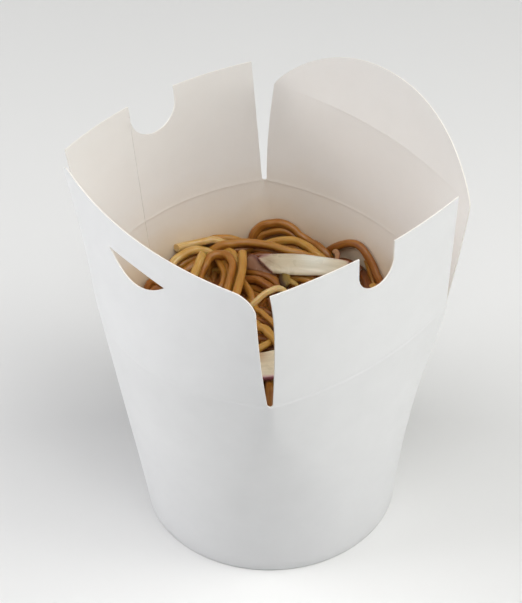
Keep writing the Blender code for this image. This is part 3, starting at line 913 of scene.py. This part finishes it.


# Strands listed one by one: name, width, tone, and the points that the middle of the strand passes.
LAID = (
    ("back_peak", 3.0, 0.34, (
        (7, 50.5, 73), (10.5, 50.5, 75), (14, 50, 75), (16.5, 49.5, 75), (19, 48.5, 74.5), (21.5, 47, 74),
        (23.5, 45.5, 73), (25.5, 44.5, 71.5))),
    ("back_left", 3.0, 0.06, (
        (1, 51.5, 77.5), (3.5, 51.5, 77), (6.5, 51, 76.5), (9, 50, 76.5), (11.5, 49, 76.5),
        (14, 48, 76.5), (16, 46.5, 76), (17.5, 45, 75), (19.5, 43.5, 74.5), (22, 42, 73))),
    ("left_arch", 3.0, 0.08, (
        (-8.5, 45, 71.5), (-6.5, 46.5, 73.5), (-4.5, 47.5, 75), (-2, 48, 76), (1, 48, 76.5),
        (3.5, 47.5, 77), (6, 46.5, 77), (8, 46, 76), (10, 44.5, 75), (11.5, 43.5, 73))),
    ("long", 3.2, 0.46, (
        (11.5, 46.5, 72.5), (13.5, 44.5, 75), (16, 42.5, 76.5), (18, 41, 76.5), (20, 39.5, 77),
        (22.5, 37.5, 77), (25, 34.5, 77), (27.5, 31, 77), (29, 27.5, 77), (31, 24, 76.5), (33.5, 21, 76),
        (35, 18, 75.5), (37, 14.5, 75))),
    ("under_long", 3.0, 0.62, (
        (13, 46, 71.5), (15.5, 43, 73), (18, 41, 73.5), (21, 39, 73.5), (24, 37.5, 73.5), (26.5, 36, 73),
        (29, 33, 72))),
    ("yellow", 2.9, 0.18, (
        (4, 40.5, 79.5), (0.5, 38, 79.5), (-3, 35.5, 79), (-6.5, 33.5, 78), (-9.5, 32, 77), (-16, 28, 75))),
    ("loop", 3.2, 0.56, (
        (-4, 32.5, 74.5), (-2, 34.5, 75.5), (0.5, 36.5, 76), (3, 37.5, 77), (5.5, 39, 77.5), (8, 39, 78),
        (10, 37.5, 78), (11, 35.5, 78.5), (10.5, 32.5, 78.5), (9, 29.5, 78.5), (6, 26.5, 78.5),
        (3, 24, 78), (-0.5, 21, 78), (-4, 18.5, 77.5), (-8.5, 16, 76))),
    ("inner_near", 2.5, 0.62, (
        (11.5, 42.5, 73), (10, 39, 74.5), (8, 35, 75.5), (6.5, 31.5, 75.5), (4, 28.5, 75.5),
        (1.5, 26.5, 75.5), (-2, 25.5, 74))),
    ("inner_far", 2.4, 0.58, (
        (13, 44, 72), (12, 40.5, 74), (10.5, 37.5, 75), (10, 34, 75.5), (8.5, 31.5, 75.5), (6.5, 29, 75),
        (3, 26, 73.5))),
    ("beside_loop", 3.1, 0.22, (
        (15.5, 42, 73.5), (15.5, 40, 75), (15.5, 37.5, 75.5), (14, 34.5, 76), (12, 31, 76),
        (8.5, 27.5, 76), (4.5, 24.5, 76), (0, 21.5, 75.5), (-3.5, 19.5, 74.5))),
    ("upright", 3.5, 0.3, (
        (15, 31.5, 79.5), (11, 26.5, 79.5), (6.5, 22, 79.5), (0.5, 17, 79), (-4.5, 14, 77.5),
        (-9, 11.5, 76), (-14, 9, 74))),
    ("big_arch", 3.2, 0.62, (
        (28, 42.5, 66), (28.5, 43.5, 68), (29.5, 44, 70), (31, 44, 73), (33, 43.5, 75), (34.5, 42, 76.5),
        (37, 40, 77), (38.5, 38, 77.5), (40, 35.5, 77), (41, 33, 76), (41.5, 31, 74.5), (42.5, 29, 73.5),
        (43, 26, 73), (43, 22.5, 73.5), (43, 19.5, 73), (43.5, 17, 71.5), (44.5, 15.5, 69.5))),
    ("big_arch_inner", 3.1, 0.62, (
        (31, 43, 68.5), (31.5, 43, 70), (33, 42.5, 72), (35, 41, 73), (37, 39, 74), (38.5, 37, 74.5),
        (40, 34.5, 74), (40.5, 32.5, 73), (41.5, 30.5, 71), (42, 29, 69))),
    ("orange", 3.1, 0.3, (
        (26, 37, 72), (28.5, 35, 74), (31, 33.5, 75), (33.5, 31, 76), (36, 28, 76.5), (37, 25, 76.5),
        (37.5, 21, 76.5), (37.5, 17.5, 76), (38, 14.5, 75), (38, 12, 74))),
    ("right_arch", 2.9, 0.74, (
        (42, 23.5, 64.5), (43.5, 22, 67), (45, 20.5, 70), (46, 18.5, 73), (46.5, 16.5, 75),
        (47.5, 14, 77), (48, 11, 79), (48.5, 8, 80), (48.5, 5.5, 80), (48.5, 3.5, 79), (48.5, 1, 77),
        (48.5, -1, 75), (48, -3, 73), (48, -4.5, 71.5), (47.5, -6, 69.5))),
    ("right_inner", 2.7, 0.6, (
        (49, 3, 75.5), (48.5, 1.5, 74.5), (48, 0, 73), (47.5, -1.5, 71), (46.5, -3, 69))),
    ("notch_end", 3.0, 0.26, (
        (47.5, -5, 66), (45.6, -5.6, 69.5), (43.4, -6.6, 71.8), (42.4, -7.0, 72.6))),
    # A dark strand as painted shade in the notch, hiding the wall there.
    ("notch_painted_shade", 3.6, 0.95, (
        (47.5, 4, 70), (46.6, 2, 70.5), (43.9, -2.5, 71), (41.5, -6.3, 71), (39.8, -9.2, 70.5))),
    # A dark strand as painted shade in the hollow under the right arch.
    ("arch_painted_shade", 3.4, 0.92, (
        (41.7, 13, 72), (43.6, 11.3, 72.5), (45.1, 9.2, 72.5), (46.2, 6.7, 72), (47, 3.8, 71))),
    ("arch_fill", 3.0, 0.5, (
        (31, 33.5, 71.5), (32.1, 32, 72.5), (33.9, 30.7, 73.3), (35.2, 29, 73.5), (36.2, 26.2, 73.5),
        (37.2, 23.5, 73))),
    ("under_long_right", 3.2, 0.74, (
        (24.6, 39.4, 72.5), (25.2, 36.1, 73.5), (26.3, 34, 73.8), (28, 31.6, 73.8), (29.7, 28.6, 73.8),
        (31.6, 25.3, 73.5), (33.1, 22.1, 73))),
    ("left_fill", 3.0, 0.46, (
        (-2.2, 48.3, 71), (0.1, 47.6, 72.5), (3.4, 47.5, 73), (6.6, 46.8, 73), (8.9, 45.6, 72.5))),
    ("left_fill_near", 3.0, 0.6, (
        (-2.2, 44.2, 72), (0.6, 43.5, 73.5), (3.9, 43.6, 74), (6.9, 44, 73.5))),
    ("pale_arch", 2.3, 0.0, (
        (-0.2, 9.5, 76), (0.9, 8.9, 77.8), (2.4, 8.5, 78.9), (4.5, 8.4, 79.9), (6.4, 7.9, 80.7),
        (8.6, 7.4, 81), (10.4, 6.9, 81), (11.5, 6.2, 80.5), (12.2, 5.3, 79.5), (12.5, 4.2, 78))),
    ("slot_fill", 3.6, 0.74, (
        (-15.4, 47.7, 69.8), (-13.9, 47.6, 71.9), (-12.8, 46.4, 72.6), (-12, 43.3, 72.6),
        (-11.3, 40.2, 72))),
    ("slot_end", 3.0, 0.7, (
        (-15.6, 45.4, 69.4), (-14.2, 45.3, 70.9), (-12.8, 43.9, 71.2), (-11.9, 41, 70.8))),
    ("below_onion", 3.0, 0.32, (
        (19.3, 14.4, 76), (20.5, 13.1, 76.8), (22.2, 11.3, 77), (23.9, 8.9, 77), (25.6, 6.1, 76.5),
        (27.6, 3.1, 75.5))),
    ("tip_shade", 3.0, 0.9, (
        (21, 35.1, 72.5), (22.7, 33.2, 73.3), (25, 31.5, 73.5), (27.2, 29.6, 73.5), (29.6, 27.4, 73))),
    ("dark_right", 3.0, 0.85, (
        (8.6, 8.9, 75), (7.5, 6.1, 75.5), (6.5, 3.3, 75.5), (5.6, 0.6, 75))),
    ("fan_far", 3.0, 0.72, (
        (13.5, 27.5, 74.5), (14, 24, 76), (14.8, 21.2, 76.5), (15.5, 18, 77), (15.7, 15.6, 77),
        (15.4, 12.7, 77), (14.8, 10.2, 76.5))),
    ("fan_middle", 3.0, 0.78, (
        (9.5, 24.6, 74.5), (10.7, 22.3, 75.5), (11.8, 20.3, 76), (12, 17.8, 76.5), (12.2, 15.3, 76.5),
        (12.3, 12.8, 76.5), (12, 10.4, 76))),
    ("fan_near", 2.6, 0.54, (
        (9.3, 26.2, 74.5), (8, 23.2, 75.5), (7, 20.4, 76), (6, 17.5, 76.5), (5.1, 15.2, 76.5),
        (4.2, 13.3, 76), (3.4, 12.1, 75))),
    ("slit_first", 2.1, 0.38, (
        (3.2, 13.8, 75), (2.2, 10.3, 76.5), (0.7, 6.3, 77), (0.2, 3.3, 78), (-0.3, -0.2, 78),
        (-0.8, -3.2, 78.5), (-1.3, -6.2, 78), (-1.3, -9.7, 77))),
    ("slit_second", 3.1, 0.28, (
        (-4.5, 4.5, 76.5), (-5, 1.5, 77.5), (-5.5, -2, 78), (-5, -4.5, 78.5), (-5.5, -7, 78.5),
        (-5.5, -9.5, 78), (-6, -12, 77.5), (-6.5, -14, 76.5))),
    ("slit_red", 2.3, 0.66, (
        (-2, 8.5, 74), (-1.5, 6, 75), (-1, 3.5, 75.5), (-0.5, 1.5, 75.5), (0, -1, 75.5), (0.5, -3.5, 75))),
    ("slit_third", 2.8, 0.28, (
        (-17.5, -8.5, 75), (-15, -9.5, 76), (-12, -9.5, 77), (-9.5, -9.5, 77), (-7, -9, 76.5),
        (-3.5, -8, 75.5), (0, -6.5, 74.5))),
    ("slit_foot", 3.1, 0.62, (
        (-14.5, -16.5, 73), (-17.5, -21, 74), (-20.5, -25, 74.5), (-24, -29, 74.5), (-27, -32, 74),
        (-30, -35, 72.5))),
)


def lay_strands(pile, strands, draws):
    """The listed strands."""
    for _, width, tone, points in LAID:
        curve = fair_curve(points)
        path = divide(curve, round(lengths_along(curve)[-1] / STRAND_STEP))
        pile.reserve(path)
        roll, twist = draws.uniform(*ROLL), draws.uniform(*LAID_TWIST)
        strands.add(path, width, width * LAID_HEIGHT, tone, roll, twist, draws)


def build_core(name, tub):
    """A closed body a little smaller than the heap, below the strands."""
    count, rings, levels = 72, 14, 8
    angles = np.arange(count) * 2 * pi / count
    loops = []
    for height in np.linspace(HEM_HEIGHT + BOARD + 4 * GAP, HEAP_EDGE - CORE_DROP, levels):
        loops.append(polar(tub.radius(np.cos(angles), np.sin(angles), height) - CORE_ROOM, angles, height))
    rim = loops[-1][:, :2]
    for ring in range(rings - 1, 0, -1):
        spot = rim * (ring / rings)
        loops.append(np.column_stack([spot, heap_top(*spot.T) - CORE_DROP]))
    last = len(loops) * count
    faces = [(a, d, c, b) for a, b, c, d in ring_faces(len(loops), count)]
    faces += [tuple(reversed(range(count))), tuple(range(last - count, last))]
    return add_piece(name, np.concatenate(loops), faces, [sauce_and_shade_material()])


# ---- onion and garnish

@dataclass(frozen=True)
class Slice:
    """A slice of onion between its skin edge and its flesh edge, which meet at its two tips."""

    name: str
    nodes: tuple            # CAD nodes that it replaces
    tips: tuple
    skin: tuple
    flesh: tuple
    thickness: float
    crown: float            # how far its middle stands above its edges
    bands: tuple            # (place along the skin edge, width of the skin's colour, strength); on a leaf that colour is painted shade
    tint: tuple
    patches: tuple = ()     # (place, reach, tint) of spots where its colour differs


SLICES = (
    Slice("onion_long", ("onion_slice_long",), ((15.6, 16.1, 79.5), (40, 2.5, 79.5)),
          ((15.8, 19.1, 79.5), (16.2, 22.4, 79.7), (16.6, 25.3, 80), (16.7, 25.5, 80), (16.9, 25.4, 80.1),
           (18.3, 24.6, 81), (20, 23, 81.5), (24, 19, 82), (28.5, 14.5, 82), (32, 10.5, 81.5),
           (36.5, 6, 80.5)),
          ((17.5, 13, 80), (21.5, 8.5, 80), (26.5, 4, 80), (31, 1.5, 79.5), (36, 0.5, 79.5)),
          1.5, 0.9, ((0, 0.55, 0.9), (0.18, 0.65, 0.95), (0.23, 1.5, 1), (0.28, 2.6, 0.7), (0.42, 2, 0.45),
                     (0.75, 1.2, 0.5), (1, 2.5, 0.6)), (0.83, 0.78, 0.70),
          (((17.5, 20.3, 80), 2.8, (0.62, 0.50, 0.45)), ((31, 10.5, 82), 6, (1.33, 1.55, 1.95)))),
    # Its tint darkens it to a pinkish brown: sauce stain, and painted shade where it lies below the long
    # slice.
    Slice("onion_under", ("onion_slice_under",), ((19, 32, 76.5), (16, 13.6, 77)),
          ((19, 28, 78), (18, 24.3, 78.3), (17.3, 20.8, 78.3), (17.2, 16.2, 78.3)),
          ((15, 29.5, 77), (13, 27, 77), (13.2, 24.8, 77), (14.4, 21.3, 77.2), (15.5, 17.6, 77.4)),
          1.0, 0.4, ((0, 2.6, 0.75), (0.35, 2.1, 0.7), (0.55, 1, 0.6), (1, 0.5, 0.6)), (0.36, 0.18, 0.115)),
    # Its tint of more than one is painted light: it brightens the slice in the shade of the front slit.
    Slice("onion_front", ("onion_slice_front",), ((-29, -7.5, 74.5), (-2, -26.5, 75)),
          ((-27.5, -16.5, 76), (-22.7, -21.5, 77), (-18.5, -24.6, 77.2), (-11, -28, 76.5)),
          ((-21, -9.5, 78), (-16.9, -11.7, 79), (-13.5, -13.8, 79), (-9.7, -15.6, 79), (-5, -19, 78)),
          1.6, 0.6, ((0, 1.4, 1), (1, 1.4, 1)), (1.27, 1.22, 1.15),
          (((-16.5, -13.5, 79), 3.8, (0.62, 0.42, 0.30)),)),
    Slice("onion_scrap", (), ((46, 15, 74), (40, 9, 75.5)),
          ((44.9, 13.9, 75.9), (44.2, 12, 76.1), (42.2, 9.9, 76.3)),
          ((43, 14.8, 75.2), (42.4, 12.9, 75.6), (40.8, 10.8, 75.8)),
          1.0, 0.2, ((0, 0.4, 0.5), (1, 0.4, 0.5)), (0.60, 0.34, 0.21)),
)
# On the leaves, the band along the skin edge is painted shade where the leaf curls under.
LEAVES = (
    Slice("spring_onion_curl", (), ((19.5, 15.2, 78.3), (14.4, 8.4, 77.5)),
          ((18.4, 15, 79), (17, 13.8, 79), (15.3, 11.9, 79), (14.6, 10.5, 78.5)),
          ((20.7, 13.6, 79.2), (20, 11.5, 79.5), (18.4, 9.3, 79.5), (17, 7.9, 79)),
          0.7, 0.7, ((0, 1.9, 1.3), (1, 1.9, 1.3)), (1, 1, 1)),
    Slice("spring_onion_tail", (), ((18.6, 11.6, 78.4), (19, 4.8, 77.5)),
          ((18.9, 9.3, 79), (19.3, 6.9, 78.8)),
          ((17.2, 9.5, 78.8), (17.4, 7.2, 78.6)),
          0.7, 0.4, ((0, 0.3, 0.5), (1, 0.3, 0.5)), (1.5, 1.45, 1.8)),
)
TIP = 0.12              # share of a slice's length over which it thins towards each tip
TIP_LEAST = 0.05        # square of the share of its thickness that is left there
RIPPLE = 0.12           # height of its ripples
RIPPLE_RUN = (19, 3)    # and how many radians they run, along and across it
RIM_SQUARENESS = 6


def build_slice(piece, material):
    """A thin sheet between the slice's two edges, crowned, with a rounded rim."""
    columns, rows = 48, 14
    start, end = piece.tips
    skin, flesh = (divide(fair_curve((start, *edge, end)), columns) for edge in (piece.skin, piece.flesh))
    share = np.linspace(0, 1, columns + 1)[:, None]
    across = (1 - np.cos(pi * np.linspace(0, 1, rows + 1))[None, :]) / 2
    sheet = skin[:, None] * (1 - across[..., None]) + flesh[:, None] * across[..., None]
    tip = np.clip(np.minimum(share, 1 - share) / TIP, TIP_LEAST, 1) ** 0.5
    arch = 4 * across * (1 - across)
    normal = np.cross(np.gradient(sheet, axis=0), np.gradient(sheet, axis=1))
    normal /= np.linalg.norm(normal, axis=-1, keepdims=True) + 1e-9
    normal *= np.sign(normal[..., 2:3] + 1e-9)
    ripple = RIPPLE * np.sin(share * RIPPLE_RUN[0] + across * RIPPLE_RUN[1])
    rim = np.sqrt(np.clip(1 - abs(2 * across - 1) ** RIM_SQUARENESS, 0, 1))
    middle = sheet + normal * (piece.crown * arch * tip + ripple * arch)[..., None]
    half = normal * (piece.thickness / 2 * rim * tip)[..., None]
    points = np.concatenate([middle + half, middle - half]).reshape(-1, 3)

    width = rows + 1
    under = width * (columns + 1)
    corners = [i * width + j for i in range(columns) for j in range(rows)]
    faces = [(a + 1, a + width + 1, a + width, a) for a in corners]
    faces += [(a + under, a + under + width, a + under + width + 1, a + under + 1) for a in corners]
    border = [*range(rows), *range(rows, under - 1, width), *range(under - 1, under - 1 - rows, -1),
              *range(columns * width, 0, -width)]
    faces += [(a, b, b + under, a + under) for a, b in neighbours(border)]
    made = add_piece(piece.name, points, faces, [material], sharp=60)
    form = bmesh.new()
    form.from_mesh(made.data)
    bmesh.ops.recalc_face_normals(form, faces=form.faces)
    form.to_mesh(made.data)
    form.free()

    away = np.linalg.norm(sheet[:, :, None] - skin, axis=-1)
    from_skin = away.min(-1)
    nearest = away.argmin(-1) / columns
    along = np.broadcast_to(share * np.linalg.norm(skin[0] - skin[-1]), from_skin.shape)
    places, widths, strengths = np.array(piece.bands).T
    band = np.exp(-(from_skin / np.interp(nearest, places, widths)) ** 2)
    band = (band * np.interp(nearest, places, strengths)).ravel()
    grain = np.stack([along, from_skin, np.full(from_skin.shape, sum(piece.tint))], -1)
    tint = np.tile(np.array(piece.tint, float), (len(points), 1))
    for place, reach, colour in piece.patches:
        near = np.exp(-(np.linalg.norm(points - place, axis=1) / reach) ** 2)[:, None]
        tint *= 1 + near * (np.array(colour) - 1)
    add_attribute(made, "skin", "FLOAT", [band, band])
    add_attribute(made, "tint", "FLOAT_VECTOR", tint)
    add_attribute(made, "grain", "FLOAT_VECTOR", [grain, grain])
    return made


# ---- studio

CAMERA_AZIMUTH = -39.57
CAMERA_ELEVATION = 39.64
CAMERA_ROLL = -1.26
CAMERA_DISTANCE = 650.0
CAMERA_LENS = 114.2
AIM_RIGHT = -2.21
AIM_HEIGHT = 85.11
LIGHT_AIM_HEIGHT = 90.0
FLOOR_HALF = 2.5
FLOOR_GREY = 0.81
SKY_STRENGTH = 0.01
SKY_COLOUR = (0.97, 0.985, 1.0)
SOFTBOXES = (   # name, azimuth from the camera's, elevation, distance, size, power, colour
    ("left_low", -90, 28, 1.2, 0.8, 8.9, (1.0, 1.0, 1.0)),
    ("right_low", 85, 28, 1.2, 0.8, 6.5, (1.0, 1.0, 0.95)),
    ("right_high", 55, 58, 1.2, 0.8, 4.1, (1.0, 1.0, 0.97)),
    ("top_front", 0, 72, 1.3, 1.0, 8.8, (1.0, 1.0, 1.0)),
)


def direction(azimuth, elevation):
    """The way out from the box, at an azimuth from the camera's."""
    a, e = radians(CAMERA_AZIMUTH + azimuth), radians(elevation)
    return Vector((sin(a) * cos(e), -cos(a) * cos(e), sin(e)))


def add_camera():
    """The camera, at the photograph's angle."""
    back, level, roll = direction(0, CAMERA_ELEVATION), direction(90, 0), radians(CAMERA_ROLL)
    right = level * cos(roll) + back.cross(level) * sin(roll)
    up = back.cross(right)
    aim = Vector(AXIS) + (right * AIM_RIGHT + Vector((0, 0, AIM_HEIGHT))) * MM
    camera = link("camera", bpy.data.cameras.new("camera"))
    camera.data.lens = CAMERA_LENS
    camera.matrix_world = Matrix.Translation(aim + back * CAMERA_DISTANCE * MM) @ Matrix(
        (right, up, back)).transposed().to_4x4()
    bpy.context.scene.camera = camera


def add_softbox(name, azimuth, elevation, distance, size, power, colour):
    """A square soft light that faces the box from a direction."""
    back = direction(azimuth, elevation)
    light = bpy.data.lights.new(name, "AREA")
    light.shape = "SQUARE"
    light.size = size
    light.energy = power
    light.color = colour
    lamp = link(name, light)
    lamp.location = Vector(AXIS) + Vector((0, 0, LIGHT_AIM_HEIGHT * MM)) + back * distance
    lamp.rotation_mode = "QUATERNION"
    lamp.rotation_quaternion = back.to_track_quat("Z", "Y")


def add_studio():
    """A plain pale floor and plain soft light."""
    mesh = bpy.data.meshes.new("floor")
    corners = [(x * FLOOR_HALF, y * FLOOR_HALF, 0) for x, y in ((-1, -1), (1, -1), (1, 1), (-1, 1))]
    mesh.from_pydata(corners, [], [(0, 1, 2, 3)])
    mesh.materials.append(Look("pale_floor", Roughness=0.85, Specular_IOR_Level=0.1,
                               Base_Color=(FLOOR_GREY, FLOOR_GREY, FLOOR_GREY, 1)).material)
    floor = link("floor", mesh)

    world = bpy.data.worlds.new("studio")
    world.use_nodes = True
    background = world.node_tree.nodes["Background"]
    background.inputs["Color"].default_value = (*SKY_COLOUR, 1)
    background.inputs["Strength"].default_value = SKY_STRENGTH
    bpy.context.scene.world = world
    bpy.context.scene.view_settings.view_transform = "Standard"
    for softbox in SOFTBOXES:
        add_softbox(*softbox)


# ---- the whole box

# The outside board takes painted shade towards its foot; the inside, a film of sauce with painted warm
# shade.
BOARD_MATERIALS = [
    board_material("board_outside", (0.87, 0.875, 0.885), (0.84, 0.845, 0.855), 0.42, 0.25, FOOT_SHADE),
    board_material("board_inside", (0.91, 0.895, 0.875), (0.885, 0.867, 0.845), 0.5, 0.35, SAUCE_AND_SHADE_FILM),
    cut_edge_material(),
]


def build_box():
    """Wall and flaps, built in place of the CAD's wall and flaps."""
    tub = Tub()
    wall = build_wall("board_wall", tub)
    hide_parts("box_wall")
    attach(wall, "box")

    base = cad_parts["base_disc"]
    base.data.materials.clear()
    base.data.materials.append(BOARD_MATERIALS[1])

    back = build_notched_flap("board_flap_back", BACK, BACK_NOTCH_RADIUS)
    front = build_notched_flap("board_flap_front", FRONT, FRONT_NOTCH_RADIUS, FRONT_SLIT, FRONT_LIFT)
    slotted = build_slotted_flap("board_flap_slotted", SLOTTED)
    tuck = build_tuck_flap("board_flap_tuck", TUCK)
    tongue = build_tongue("board_tongue", TONGUE)
    flaps = (   # piece, node that it replaces, the two bodies that it joins, panel, height of its bend
        (back, "flap_back", "box", "back_flap", BACK, FOLD_ZONE),
        (front, "flap_front", "box", "front_flap", FRONT, FOLD_ZONE),
        (slotted, "flap_slotted", "box", "slotted_flap", SLOTTED, FOLD_ZONE),
        (tuck, "flap_tuck", "box", "tuck_flap", TUCK, FOLD_ZONE),
        (tongue, "tuck_tongue", "tuck_flap", "tongue", TONGUE, FOLD_ZONE / 2),
    )
    for flap, node, carrier, body, panel, zone in flaps:
        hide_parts(node)
        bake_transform(flap)
    return tub


def build_contents(tub):
    """Noodles over the core, with onion and spring onion on them."""
    draws = random.Random(SEED)
    pile = Pile(tub)
    shown = Strands(LAID_CORNERS)
    lay_strands(pile, shown, draws)
    heaped = Strands(HEAPED_CORNERS)
    for bed in BEDS:
        bed_strands(pile, heaped, draws, *bed)
    drop_strands(pile, heaped, draws)
    material = noodle_material()
    noodles = shown.build("noodles_laid", material)
    heap = heaped.build("noodles_heaped", material)
    core = build_core("sauce_and_shade_core", tub)
    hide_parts("noodle_heap")
    for piece in (noodles, heap, core):
        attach(piece, "box")

    toppings = ((SLICES, onion_material(), "red_onion"), (LEAVES, leaf_material(), "noodles"))
    for pieces, material, slot in toppings:
        for piece in pieces:
            made = build_slice(piece, material)
            for node in piece.nodes:
                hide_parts(node)
            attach(made, "box")


build_contents(build_box())
add_studio()
add_camera()
